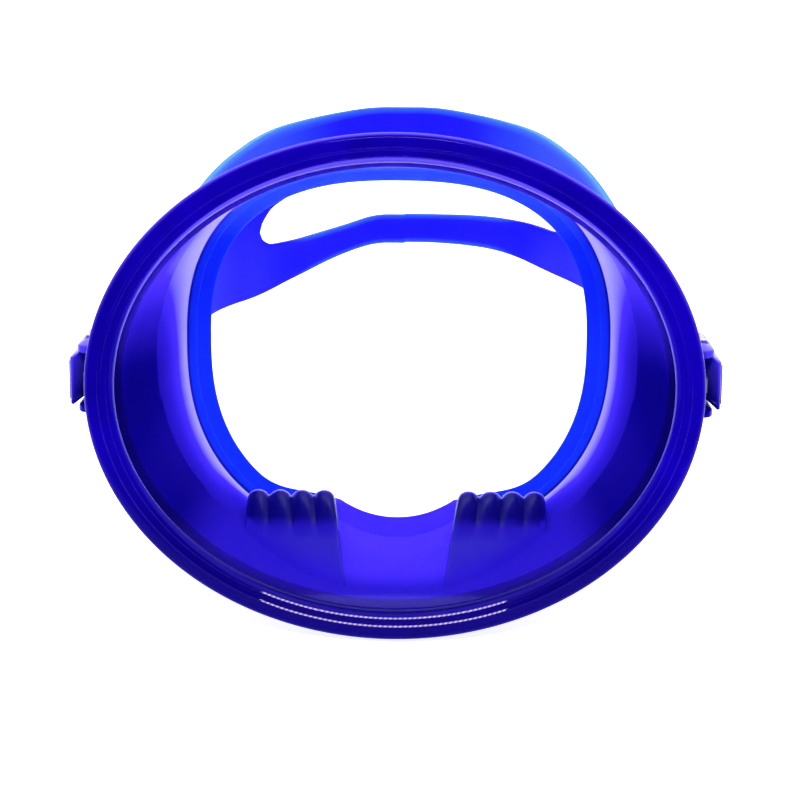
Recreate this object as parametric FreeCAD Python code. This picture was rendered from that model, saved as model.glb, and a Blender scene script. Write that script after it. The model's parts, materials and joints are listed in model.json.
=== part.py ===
"""Single-lens diving mask, standing on the bottom of its frame and skirt.

Every piece is drawn in mask coordinates: X across the face, Y from the front
rim towards the wearer, Z up, with the middle of the oval frame at X = Z = 0.
The last step leans the whole mask back until the skirt touches the table and
puts the origin under the middle of its bounding box. Sizes are millimetres.
Left and right are as seen by somebody who looks at the lens.
"""
import FreeCAD, Part
import math
import os

V = FreeCAD.Vector
X_AXIS = V(1, 0, 0)

# Oval frame
FRAME_HALF_W = 83.5
FRAME_HALF_H = 69.5
BEZEL_DEPTH = 12.0
BEZEL_DRAFT = 1.3
BEZEL_WALL = 2.6
BEZEL_FACE = 8.0
BEZEL_LIP = 3.0
BEZEL_ROUND = 1.1
RIDGE_HEIGHT = 0.5
RIDGE_WIDTH = 1.1
RIDGE_INSETS = (3.6, 5.9)
LENS_THICKNESS = 4.0
LENS_EDGE_GAP = 0.3
REAR_FRAME_START = 9.5
REAR_FRAME_END = 15.0
REAR_FRAME_WIDTH = 5.2
REAR_FRAME_GAP = 0.06

# Silicone skirt and face seal
SKIRT_WALL = 1.8
SKIRT_RIM_HALF_W = 80.5
SKIRT_RIM_HALF_H = 66.5
SKIRT_THROAT_HALF_W = 75.6
SKIRT_THROAT_HALF_H = 61.6
SKIRT_THROAT_END = 18.0
CURVE_POINTS = 48
# Curves of the skirt from the frame to the face: half width, reach up, reach
# down, squareness, then depth at the sides, at the top and at the bottom
WALL_MIDDLE = (71.5, 59.8, 59.4, 2.2, 42.0, 38.0, 37.0)
WALL_BACK = (65.0, 57.8, 57.0, 2.4, 70.0, 57.0, 53.5)
WALL_BACK_INNER = (63.2, 56.0, 55.2, 2.4, 68.6, 55.8, 52.3)
FLANGE_OUTER = (61.5, 54.5, 54.0, 2.5, 74.5, 61.0, 57.5)
FLANGE_INNER = (61.0, 54.0, 53.4, 2.5, 72.0, 58.6, 55.0)
LIP_OUTER = (56.5, 50.0, 50.0, 2.5, 75.5, 61.5, 58.0)
LIP_INNER = (56.8, 50.3, 50.3, 2.5, 74.0, 60.0, 56.5)

# Finger wells beside the nose
WELL_INNER_X = 18.5
WELL_INNER_X_FRONT = 13.0
WELL_OUTER_X = 43.5
WELL_FRONT = (10.5, -60.5)
WELL_TOP = (47.5, -40.5)
WELL_BACK = (52.5, -43.5)
WELL_DEPTH_BELOW = 30.0
# Loft that trims the wells to the inside of the wall: half width, half height, depth
WELL_TRIM = ((75.4, 61.4, 12.0), (75.2, 61.2, 18.0), (71.0, 58.8, 38.0), (64.5, 56.0, 55.5))
WELL_RIBS = 4
WELL_RIB_RADIUS = 3.0
WELL_RIB_SINK = 1.6

# Strap pivots, buckles and levers: u is the distance out from the mask's middle
PIVOT_Y = 20.0
LUG_INNER = 78.4
LUG_OUTER = 81.2
LUG_RADIUS = 7.5
PIN_RADIUS = 3.0
PIN_HEAD_RADIUS = 4.6
PIN_HEAD = 1.3
RUNNING_FIT = 0.06
BUCKLE_BASE_INNER = 81.6
BUCKLE_BASE_OUTER = 83.2
BUCKLE_DISC_RADIUS = 7.6
BUCKLE_SHOULDER = 5.5
BUCKLE_WING_INNER = 84.0
BUCKLE_WING_FRONT = -6.0
BUCKLE_LENGTH = 23.0
BUCKLE_HALF_HEIGHT = 9.4
BUCKLE_CHEEK = 2.2
BUCKLE_OUTER = 87.5
BUCKLE_TAIL_INNER = 76.2
BUCKLE_TAIL_START = 10.0
ROLLER_U = 81.2
ROLLER_BACK = 17.0
ROLLER_RADIUS = 2.5
ROLLER_HALF_LENGTH = 6.7
AXLE_RADIUS = 1.1
AXLE_HEAD = 0.5
LEVER_U = 85.7
LEVER_BACK = 8.6
LEVER_PIN_RADIUS = 0.9
LEVER_OUTER = 89.0
LEVER_PLATE = 1.5
LEVER_FRONT = -8.0
LEVER_HALF_HEIGHT = 6.6
LEVER_RIBS = 5
LEVER_RIB_PITCH = 1.8
LEVER_RIB_RADIUS = 0.45
SPRING_THICKNESS = 0.4
SPRING_HALF_WIDTH = 2.0
SPRING_FRONT = 0.5
SPRING_FOOT = 2.0
SPRING_RISE = 85.25
SPRING_TIP = 85.95

# Strap
STRAP_THICKNESS = 2.0
STRAP_END_HALF_WIDTH = 5.7
STRAP_TAIL_LENGTH = 46.0
# Middle of the band in plan: (distance out, distance behind the pivot)
STRAP_PLAN = (
    (77.4, 17), (76.8, 40), (72.5, 70), (62.5, 100),
    (53, 120.5), (39, 142.5), (15.6, 158.5),
)
STRAP_PLAN_BACK = 161.0
# Edges of the band from the side: (distance behind the pivot, height)
STRAP_TOP = ((42, 5.7), (60, 15), (80, 30), (101, 42.3), (125, 52), (148, 58), (170, 61.5))
STRAP_LOW_LEFT = (
    (45, -5.7), (75, -5.0), (105, -0.5), (130, 1.2), (144, 4.8), (155, 11), (162, 14.5),
)
STRAP_LOW_RIGHT = (
    (42, -5.7), (70, -1.0), (95, 6.0), (113, 8.3), (134, 10.7), (150, 14.2), (162, 14.5),
)
# Slot between the two bands across the back, same measures
SLOT_LEFT = (
    (136, 17.3), (145, 17.8), (156, 21.3), (162, 24.5),
    (170, 25), (170, 50), (150, 47), (138, 41),
)
SLOT_RIGHT = (
    (121, 22.5), (131, 23.8), (150, 25.2), (162, 24.7),
    (170, 25), (170, 50), (145, 46), (124, 39),
)
SLOT_END_RADIUS = 6.0
KEEPER_START = 31.0
KEEPER_LENGTH = 5.0
KEEPER_WALL = 1.4
SOFT_GAP = 0.3


def ellipse_wire(half_w, half_h, y):
    """Closed ellipse in a plane across the mask's axis."""
    ellipse = Part.Ellipse(V(half_w, y, 0), V(0, y, half_h), V(0, y, 0))
    return Part.Wire(ellipse.toShape())


def ellipse_block(half_w, half_h, y_start, y_end):
    """Solid elliptical disc between two depths."""
    face = Part.Face(ellipse_wire(half_w, half_h, y_start))
    return face.extrude(V(0, y_end - y_start, 0))


def ellipse_ring(half_w, half_h, width, y_start, y_end):
    """Elliptical ring of constant width."""
    outer = ellipse_block(half_w, half_h, y_start, y_end)
    inner = ellipse_block(half_w - width, half_h - width, y_start - 1, y_end + 1)
    return outer.cut(inner)


def box(low, high):
    """Box between two opposite corners."""
    return Part.makeBox(high[0] - low[0], high[1] - low[1], high[2] - low[2], V(*low))


def rod_x(radius, u_start, u_end, y, z=0.0):
    """Cylinder along X."""
    return Part.makeCylinder(radius, u_end - u_start, V(u_start, y, z), X_AXIS)


def rod_z(radius, half_length, u, y):
    """Cylinder along Z, centred on Z = 0."""
    return Part.makeCylinder(radius, 2 * half_length, V(u, y, -half_length), V(0, 0, 1))


def side_profile(points, x_start, x_end):
    """Polygon of (y, z) points swept across the mask from x_start to x_end."""
    corners = [V(x_start, y, z) for y, z in points]
    face = Part.Face(Part.makePolygon(corners + corners[:1]))
    return face.extrude(V(x_end - x_start, 0, 0))


def plan_profile(points, half_height):
    """Polygon of (u, y) points swept from -half_height to half_height in Z."""
    corners = [V(u, y, -half_height) for u, y in points]
    face = Part.Face(Part.makePolygon(corners + corners[:1]))
    return face.extrude(V(0, 0, 2 * half_height))


def mirrored(shape, side):
    """The shape itself on the right (+X), its mirror image on the left."""
    return shape if side > 0 else shape.mirror(V(0, 0, 0), X_AXIS)


# ---- frame ---------------------------------------------------------------


def make_front_bezel():
    """Front ring: holds the lens, with two raised ridges round its face."""
    outer = Part.makeLoft(
        [
            ellipse_wire(FRAME_HALF_W, FRAME_HALF_H, 0),
            ellipse_wire(FRAME_HALF_W - BEZEL_DRAFT, FRAME_HALF_H - BEZEL_DRAFT, BEZEL_DEPTH),
        ],
        True,
        True,
    )
    face_w = FRAME_HALF_W - BEZEL_FACE
    face_h = FRAME_HALF_H - BEZEL_FACE
    seat_w = FRAME_HALF_W - BEZEL_WALL
    seat_h = FRAME_HALF_H - BEZEL_WALL
    ring = outer.cut(ellipse_block(face_w, face_h, -1, BEZEL_DEPTH))
    ring = ring.cut(ellipse_block(seat_w, seat_h, BEZEL_LIP, BEZEL_DEPTH + 1))
    front = [e for e in ring.Edges if abs(e.BoundBox.YMax) < 1e-3]
    ring = ring.makeFillet(BEZEL_ROUND, front)
    for inset in RIDGE_INSETS:
        half_w = FRAME_HALF_W - inset
        half_h = FRAME_HALF_H - inset
        ridge = ellipse_ring(half_w, half_h, RIDGE_WIDTH, -RIDGE_HEIGHT, RIDGE_HEIGHT)
        ring = ring.fuse(ridge)
    return ring.removeSplitter()


def make_lens():
    """Flat oval pane of tempered glass."""
    inset = BEZEL_WALL + LENS_EDGE_GAP
    end = BEZEL_LIP + LENS_THICKNESS
    return ellipse_block(FRAME_HALF_W - inset, FRAME_HALF_H - inset, BEZEL_LIP, end)


def make_rear_frame():
    """Rear ring that clamps the skirt's rim, with a strap lug at each side."""
    inset = BEZEL_WALL + REAR_FRAME_GAP
    ring = ellipse_ring(
        FRAME_HALF_W - inset,
        FRAME_HALF_H - inset,
        REAR_FRAME_WIDTH,
        REAR_FRAME_START,
        REAR_FRAME_END,
    )
    neck_start = BEZEL_DEPTH + SOFT_GAP
    neck = box((LUG_INNER, neck_start, -LUG_RADIUS), (LUG_OUTER, PIVOT_Y, LUG_RADIUS))
    lug = neck.fuse(rod_x(LUG_RADIUS, LUG_INNER, LUG_OUTER, PIVOT_Y))
    lug = lug.cut(rod_x(PIN_RADIUS, LUG_INNER - 1, LUG_OUTER + 1, PIVOT_Y))
    for side in (-1, 1):
        ring = ring.fuse(mirrored(lug, side))
    return ring.removeSplitter()


# ---- skirt ---------------------------------------------------------------


def seal_curve(half_w, top, bottom, power, y_side, y_top, y_bottom):
    """Closed curve round the mask, deeper at the temples than top and bottom."""
    points = []
    for i in range(CURVE_POINTS):
        angle = 2 * math.pi * i / CURVE_POINTS
        c = math.cos(angle)
        s = math.sin(angle)
        x = half_w * math.copysign(abs(c) ** (2 / power), c)
        reach = top if s > 0 else bottom
        z = reach * math.copysign(abs(s) ** (2 / power), s)
        middle = (y_top + y_bottom) / 2 + s * (y_top - y_bottom) / 2
        points.append(V(x, middle + (y_side - middle) * c * c, z))
    curve = Part.BSplineCurve()
    curve.interpolate(Points=points, PeriodicFlag=True)
    return curve.toShape()


def skirt_section():
    """Curves round the wall of the skirt: out and back, then in and forward."""
    rim_start = BEZEL_LIP + LENS_THICKNESS
    rim_end = REAR_FRAME_START
    rim_w = SKIRT_RIM_HALF_W
    rim_h = SKIRT_RIM_HALF_H
    throat_w = SKIRT_THROAT_HALF_W
    throat_h = SKIRT_THROAT_HALF_H
    throat_end = SKIRT_THROAT_END
    t = SKIRT_WALL
    inner_middle = tuple(size - t for size in WALL_MIDDLE[:3]) + WALL_MIDDLE[3:]
    return [
        seal_curve(rim_w, rim_h, rim_h, 2.0, rim_start, rim_start, rim_start),
        seal_curve(rim_w, rim_h, rim_h, 2.0, rim_end, rim_end, rim_end),
        seal_curve(throat_w, throat_h, throat_h, 2.0, rim_end, rim_end, rim_end),
        seal_curve(throat_w, throat_h, throat_h, 2.0, throat_end, throat_end, throat_end),
        seal_curve(*WALL_MIDDLE),
        seal_curve(*WALL_BACK),
        seal_curve(*FLANGE_OUTER),
        seal_curve(*LIP_OUTER),
        seal_curve(*LIP_INNER),
        seal_curve(*FLANGE_INNER),
        seal_curve(*WALL_BACK_INNER),
        seal_curve(*inner_middle),
        seal_curve(throat_w - t, throat_h - t, throat_h - t, 2.0, throat_end, throat_end, throat_end),
        seal_curve(throat_w - t, throat_h - t, throat_h - t, 2.0, rim_start, rim_start, rim_start),
    ]


def well_plan(inset):
    """Plan of a finger well, its nose side slanting in towards the lens."""
    front_y = WELL_FRONT[0]
    back_y = WELL_BACK[0]
    inner_front = WELL_INNER_X_FRONT + inset
    inner_back = WELL_INNER_X + inset
    outer = WELL_OUTER_X - inset
    points = [(inner_front, front_y), (outer, front_y), (outer, back_y), (inner_back, back_y)]
    return plan_profile(points, FRAME_HALF_H + WELL_DEPTH_BELOW)


def make_finger_well():
    """Ribbed block beside the nose and the pocket pressed into it from below."""
    bottom = -FRAME_HALF_H - WELL_DEPTH_BELOW
    t = SKIRT_WALL
    outline = [
        WELL_FRONT,
        WELL_TOP,
        WELL_BACK,
        (WELL_BACK[0], bottom),
        (WELL_FRONT[0], bottom),
    ]
    block = side_profile(outline, WELL_INNER_X_FRONT, WELL_OUTER_X)
    run = WELL_TOP[0] - WELL_FRONT[0]
    climb = WELL_TOP[1] - WELL_FRONT[1]
    slope = math.hypot(run, climb)
    spacing = (WELL_OUTER_X - WELL_INNER_X) / WELL_RIBS
    narrowing = (WELL_OUTER_X - WELL_INNER_X_FRONT) / (WELL_OUTER_X - WELL_INNER_X)
    for i in range(WELL_RIBS):
        out = (i + 0.5) * spacing
        x_back = WELL_INNER_X + out
        x_front = WELL_OUTER_X - (WELL_OUTER_X - x_back) * narrowing
        start = V(x_front, WELL_FRONT[0], WELL_FRONT[1] - WELL_RIB_SINK)
        along = V(x_back - x_front, run, climb)
        rib = Part.makeCylinder(WELL_RIB_RADIUS, slope, start, along)
        block = block.fuse(rib)
    block = block.common(well_plan(0.0))
    inside = Part.makeLoft([ellipse_wire(*trim) for trim in WELL_TRIM], True, True)
    block = block.common(inside)
    pocket = side_profile(
        [
            (WELL_FRONT[0] + 2 * t, WELL_FRONT[1] - t),
            (WELL_TOP[0], WELL_TOP[1] - 1.25 * t),
            (WELL_BACK[0] - t, WELL_BACK[1] - 0.4 * t),
            (WELL_BACK[0] - t, bottom),
            (WELL_FRONT[0] + 2 * t, bottom),
        ],
        WELL_INNER_X_FRONT,
        WELL_OUTER_X - t,
    )
    return block, pocket.common(well_plan(t))


def make_skirt():
    """One silicone moulding: clamped rim, side wall, face seal, finger wells."""
    curves = skirt_section()
    faces = []
    for i, curve in enumerate(curves):
        faces.append(Part.makeRuledSurface(curve, curves[(i + 1) % len(curves)]))
    shell = Part.makeShell(faces)
    shell.sewShape()
    skirt = Part.Solid(shell)
    if skirt.Volume < 0:
        skirt.reverse()
    block, pocket = make_finger_well()
    for side in (-1, 1):
        skirt = skirt.fuse(mirrored(block, side))
        skirt = skirt.cut(mirrored(pocket, side))
    return skirt


# ---- buckles -------------------------------------------------------------


def make_pivot_pin():
    """Headed stud, fixed in the lug, on which the buckle swings."""
    head_start = BUCKLE_BASE_OUTER + SOFT_GAP
    shank = rod_x(PIN_RADIUS, LUG_INNER - 0.2, head_start, PIVOT_Y)
    head = rod_x(PIN_HEAD_RADIUS, head_start, head_start + PIN_HEAD, PIVOT_Y)
    rivet = rod_x(PIN_HEAD_RADIUS - 0.8, LUG_INNER - 1.0, LUG_INNER, PIVOT_Y)
    return shank.fuse([head, rivet]).removeSplitter()


def make_buckle_body():
    """Swivelling channel: disc on the pin, base plate and two cheeks."""
    half = BUCKLE_HALF_HEIGHT
    inner_half = half - BUCKLE_CHEEK
    end = PIVOT_Y + BUCKLE_LENGTH
    tail = PIVOT_Y + BUCKLE_TAIL_START
    shoulder = PIVOT_Y + BUCKLE_SHOULDER
    wing = PIVOT_Y + BUCKLE_WING_FRONT
    low = BUCKLE_BASE_INNER
    high = BUCKLE_BASE_OUTER
    body = rod_x(BUCKLE_DISC_RADIUS, low, high, PIVOT_Y)
    body = body.fuse(box((low, PIVOT_Y, -inner_half), (high, tail, inner_half)))
    for sign in (-1, 1):
        z = min(sign * half, sign * inner_half)
        top = z + BUCKLE_CHEEK
        cheek = box((BUCKLE_WING_INNER, wing, z), (BUCKLE_OUTER, end, top))
        cheek = cheek.fuse(box((low, shoulder, z), (BUCKLE_OUTER, end, top)))
        cheek = cheek.fuse(box((BUCKLE_TAIL_INNER, tail, z), (BUCKLE_OUTER, end, top)))
        cheek = cheek.removeSplitter()
        corners = [
            e
            for e in cheek.Edges
            if abs(e.Length - BUCKLE_CHEEK) < 0.01
            and (e.BoundBox.YMin > end - 0.01 or e.BoundBox.YMax < wing + 0.01)
            and e.BoundBox.XMin > BUCKLE_WING_INNER + 0.01
        ]
        cheek = cheek.makeFillet(2.4, corners)
        body = body.fuse(cheek)
    body = body.cut(rod_x(PIN_RADIUS + RUNNING_FIT, low - 1, high + 1, PIVOT_Y))
    body = body.cut(rod_z(AXLE_RADIUS, half + 1, ROLLER_U, PIVOT_Y + ROLLER_BACK))
    body = body.cut(rod_z(LEVER_PIN_RADIUS, half + 1, LEVER_U, PIVOT_Y + LEVER_BACK))
    return body.removeSplitter()


def make_roller():
    """Plain roller that the strap turns round."""
    y = PIVOT_Y + ROLLER_BACK
    roller = rod_z(ROLLER_RADIUS, ROLLER_HALF_LENGTH, ROLLER_U, y)
    return roller.cut(rod_z(AXLE_RADIUS + RUNNING_FIT, ROLLER_HALF_LENGTH + 1, ROLLER_U, y))


def headed_pin_z(radius, u, y):
    """Pin through both cheeks with a thin head outside each."""
    half = BUCKLE_HALF_HEIGHT
    pin = rod_z(radius, half, u, y)
    for sign in (-1, 1):
        z = half if sign > 0 else -half - AXLE_HEAD
        pin = pin.fuse(Part.makeCylinder(radius + 0.7, AXLE_HEAD, V(u, y, z), V(0, 0, 1)))
    return pin.removeSplitter()


def make_lever():
    """Release lever: finger plate with ribs, hub on its pin, pawl behind."""
    y = PIVOT_Y + LEVER_BACK
    front = PIVOT_Y + LEVER_FRONT
    plate_inner = LEVER_OUTER - LEVER_PLATE
    outline = [
        (plate_inner, front),
        (LEVER_OUTER - 0.5, front),
        (LEVER_OUTER, front + 1.5),
        (LEVER_OUTER, y + 1.0),
        (LEVER_U + 1.3, y + 4.2),
        (LEVER_U - 0.9, y + 4.6),
        (LEVER_U - 1.2, y + 1.4),
        (LEVER_U - 1.0, y - 1.6),
    ]
    lever = plan_profile(outline, LEVER_HALF_HEIGHT)
    lever = lever.fuse(rod_z(LEVER_PIN_RADIUS + 1.0, LEVER_HALF_HEIGHT, LEVER_U, y))
    bore = rod_z(LEVER_PIN_RADIUS + RUNNING_FIT, LEVER_HALF_HEIGHT + 1, LEVER_U, y)
    for i in range(LEVER_RIBS):
        rib_y = front + 2.4 + i * LEVER_RIB_PITCH
        lever = lever.fuse(rod_z(LEVER_RIB_RADIUS, LEVER_HALF_HEIGHT - 1.2, LEVER_OUTER, rib_y))
    return lever.cut(bore).removeSplitter()


def make_lever_spring():
    """Leaf spring: foot on the base plate, tip under the lever's finger plate."""
    t = SPRING_THICKNESS
    foot = BUCKLE_BASE_OUTER
    start = PIVOT_Y - BUCKLE_DISC_RADIUS + SPRING_FRONT
    outline = [
        (foot, start),
        (foot, start + SPRING_FOOT),
        (foot + t, start + SPRING_FOOT),
        (foot + t, start + t),
        (SPRING_RISE - t, start + t),
        (SPRING_TIP - t, PIVOT_Y),
        (SPRING_TIP, PIVOT_Y),
        (SPRING_RISE, start),
    ]
    return plan_profile(outline, SPRING_HALF_WIDTH)


# ---- strap ---------------------------------------------------------------


def plan_curve(offset):
    """Half of the loop in plan, from the roller to the back, offset outwards."""
    route = list(STRAP_PLAN) + [(0.0, STRAP_PLAN_BACK)]
    points = []
    for i, (u, y) in enumerate(route):
        before = route[max(i - 1, 0)]
        after = route[i + 1] if i + 1 < len(route) else (-before[0], before[1])
        du = after[0] - before[0] if i else 0.0
        dy = after[1] - before[1]
        size = math.hypot(du, dy)
        points.append(V(u + offset * dy / size, PIVOT_Y + y - offset * du / size, 0))
    curve = Part.BSplineCurve()
    curve.interpolate(Points=points, InitialTangent=V(0, 1, 0), FinalTangent=V(-1, 0, 0))
    return curve.toShape()


def half_loop():
    """Right half of the upright band, before its edges are cut."""
    half = STRAP_THICKNESS / 2
    outer = plan_curve(half)
    inner = plan_curve(-half)
    ends = []
    for k in (0, 1):
        ends.append(Part.LineSegment(outer.Vertexes[k].Point, inner.Vertexes[k].Point).toShape())
    face = Part.Face(Part.Wire([outer, ends[1], inner, ends[0]]))
    height = STRAP_TOP[-1][1]
    face.translate(V(0, 0, -height))
    return face.extrude(V(0, 0, 2 * height))


def strap_ends():
    """Narrow band round each roller and back along the outside as a free tail."""
    turn = ROLLER_RADIUS + SOFT_GAP
    half = STRAP_END_HALF_WIDTH
    y = PIVOT_Y + ROLLER_BACK
    bend = rod_z(turn + STRAP_THICKNESS, half, ROLLER_U, y)
    bend = bend.cut(rod_z(turn, half + 1, ROLLER_U, y))
    bend = bend.common(box((0, y - 20, -half), (100, y, half)))
    outer = ROLLER_U + turn + STRAP_THICKNESS
    tail_end = PIVOT_Y + STRAP_TAIL_LENGTH
    low = ROLLER_U - turn + SOFT_GAP / 2
    tail = [
        (outer - STRAP_THICKNESS, y),
        (outer, y),
        (outer - 0.6, y + 4),
        (low + STRAP_THICKNESS + 1.2, y + 13),
        (low + STRAP_THICKNESS, tail_end),
        (low, tail_end),
        (low + 1.0, y + 12),
        (outer - STRAP_THICKNESS - 0.4, y + 3),
    ]
    return bend.fuse(plan_profile(tail, half))


def band_outline(low_edge):
    """Side view of one half of the band, swept across that half."""
    start = ROLLER_BACK - 1
    top = [(start, STRAP_END_HALF_WIDTH)] + list(STRAP_TOP)
    low = [(start, -STRAP_END_HALF_WIDTH)] + list(low_edge) + [(STRAP_TOP[-1][0], low_edge[-1][1])]
    outline = [(PIVOT_Y + y, z) for y, z in top + low[::-1]]
    return side_profile(outline, -1, FRAME_HALF_W)


def slot_cut(points):
    """Slot between the bands on one side, with a rounded front end."""
    outline = [(PIVOT_Y + y, z) for y, z in points]
    slot = side_profile(outline, -1, FRAME_HALF_W)
    ends = (points[0][0] + PIVOT_Y, points[-1][0] + PIVOT_Y)
    front = [
        e
        for e in slot.Edges
        if e.Length > FRAME_HALF_W and min(abs(e.BoundBox.YMin - y) for y in ends) < 0.1
    ]
    return slot.makeFillet(SLOT_END_RADIUS, front)


def make_strap():
    """Split head strap: narrow ends, wide sides, two bands across the back."""
    loop = half_loop()
    left = loop.common(band_outline(STRAP_LOW_LEFT)).cut(slot_cut(SLOT_LEFT))
    right = loop.common(band_outline(STRAP_LOW_RIGHT)).cut(slot_cut(SLOT_RIGHT))
    band = mirrored(left, -1).fuse(right)
    for side in (-1, 1):
        band = band.fuse(mirrored(strap_ends(), side))
    return band.removeSplitter()


def make_keeper():
    """Small rubber loop that holds the free tail against the band."""
    start = PIVOT_Y + KEEPER_START
    end = start + KEEPER_LENGTH
    half = STRAP_END_HALF_WIDTH + SOFT_GAP
    low = ROLLER_U - ROLLER_RADIUS - STRAP_THICKNESS - 0.9
    high = ROLLER_U + 1.2
    wall = KEEPER_WALL
    outer = box((low - wall, start, -half - wall), (high + wall, end, half + wall))
    return outer.cut(box((low, start - 1, -half), (high, end + 1, half)))


# ---- assembly ------------------------------------------------------------


def rest_angle():
    """Lean that puts the frame's bottom edge and the seal on one table."""
    drop = FRAME_HALF_H - BEZEL_DRAFT - WALL_BACK[2]
    return math.degrees(math.atan2(drop, WALL_BACK[6] - BEZEL_DEPTH))


def build_pieces():
    """All nodes in mask coordinates."""
    pieces = {
        "front_bezel": make_front_bezel(),
        "lens": make_lens(),
        "rear_frame": make_rear_frame(),
        "skirt": make_skirt(),
        "strap": make_strap(),
    }
    lever_y = PIVOT_Y + LEVER_BACK
    roller_y = PIVOT_Y + ROLLER_BACK
    buckle = {
        "buckle_body": make_buckle_body(),
        "strap_roller": make_roller(),
        "roller_axle": headed_pin_z(AXLE_RADIUS, ROLLER_U, roller_y),
        "release_lever": make_lever(),
        "lever_pin": headed_pin_z(LEVER_PIN_RADIUS, LEVER_U, lever_y),
        "lever_spring": make_lever_spring(),
        "strap_keeper": make_keeper(),
    }
    for name, side in (("left", -1), ("right", 1)):
        pieces[name + "_pivot_pin"] = mirrored(make_pivot_pin(), side)
        for piece, shape in buckle.items():
            pieces[name + "_" + piece] = mirrored(shape, side)
    return pieces


def stand_on_table(pieces):
    """Lean every piece back and put the origin under the bounding box."""
    lean = rest_angle()
    for shape in pieces.values():
        shape.rotate(V(0, 0, 0), X_AXIS, -lean)
    bounds = Part.makeCompound(list(pieces.values())).optimalBoundingBox(False, False)
    shift = V(-bounds.Center.x, -bounds.Center.y, -bounds.ZMin)
    for shape in pieces.values():
        shape.translate(shift)
    pivot = V(0, PIVOT_Y, 0)
    turn = FreeCAD.Rotation(X_AXIS, -lean)
    print("lean", round(lean, 3), "shift", [round(c, 3) for c in shift])
    print("strap pivot", [round(c, 3) for c in turn.multVec(pivot) + shift])
    print("upright axis", [round(c, 5) for c in turn.multVec(V(0, 0, 1))])
    for name, u, y in (("roller", ROLLER_U, ROLLER_BACK), ("lever", LEVER_U, LEVER_BACK)):
        print(name, [round(c, 3) for c in turn.multVec(V(u, PIVOT_Y + y, 0)) + shift])


def main():
    os.makedirs("parts", exist_ok=True)
    pieces = build_pieces()
    stand_on_table(pieces)
    for name, shape in pieces.items():
        valid = shape.isValid() and len(shape.Solids) == 1
        print(name, round(shape.Volume / 1000, 2), "cm3", "ok" if valid else "CHECK")
        shape.exportStep(os.path.join("parts", name + ".step"))


main()
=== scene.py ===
"""Looks of an oval diving mask, laid out as an add-on.

Pieces are drawn in mask coordinates, in millimetres: X across the face, Y from
the front rim towards the wearer, Z up, with the middle of the oval frame at the
origin. The mask leans back on the table, so each finished mesh is moved from
mask coordinates to the frame of the CAD part. Left and right are as seen by
somebody who looks at the lens: left is -X.
"""

import json
import math

import bpy
from mathutils import Matrix, Vector


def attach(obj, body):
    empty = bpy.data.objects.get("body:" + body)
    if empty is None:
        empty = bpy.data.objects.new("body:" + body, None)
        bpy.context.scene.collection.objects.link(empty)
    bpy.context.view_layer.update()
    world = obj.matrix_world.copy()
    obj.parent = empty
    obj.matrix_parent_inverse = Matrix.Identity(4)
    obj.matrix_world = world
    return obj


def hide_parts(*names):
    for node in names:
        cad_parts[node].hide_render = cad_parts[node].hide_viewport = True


bl_info = {
    "name": "Oval diving mask",
    "version": (1, 0, 0),
    "blender": (4, 5, 0),
    "location": "3D View > Sidebar > Diving mask",
    "description": "Builds the frame, lens, skirt, strap and buckles of a diving mask",
    "category": "Mesh",
}

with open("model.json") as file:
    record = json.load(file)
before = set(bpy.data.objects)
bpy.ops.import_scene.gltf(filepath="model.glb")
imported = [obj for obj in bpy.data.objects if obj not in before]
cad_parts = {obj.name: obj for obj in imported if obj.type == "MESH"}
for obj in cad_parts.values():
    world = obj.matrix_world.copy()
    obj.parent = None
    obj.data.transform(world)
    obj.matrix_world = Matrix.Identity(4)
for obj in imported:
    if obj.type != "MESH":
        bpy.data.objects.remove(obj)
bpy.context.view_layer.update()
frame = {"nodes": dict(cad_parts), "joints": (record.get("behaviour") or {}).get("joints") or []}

MM = 0.001

# Depth of the buckles' pivot
PIVOT_BACK = 20.0

# Steps round each oval piece; the painted highlight dashes on the bezel are one step long
BEZEL_TURNS = 720
LENS_TURNS = 192
SKIRT_TURNS = 360
CORE_TURNS = 180

# Front bezel, from its back edge round the outside to the lens seat: inset, depth
BEZEL_OUTSIDE = (
    (1.3, 12.0), (0.55, 6.0), (0.12, 2.4), (0.0, 1.5), (0.08, 1.0), (0.32, 0.55),
    (0.75, 0.25), (1.3, 0.08), (2.4, -0.05), (3.45, -0.1),
)
FACE_DEPTH = -0.1
RIDGE_STEPS = 8
BEZEL_INSIDE = ((7.15, 0.0), (7.45, 0.3), (7.8, 1.2), (8.0, 1.6), (8.0, 3.0), (2.6, 3.0), (2.6, 12.0))

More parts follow.
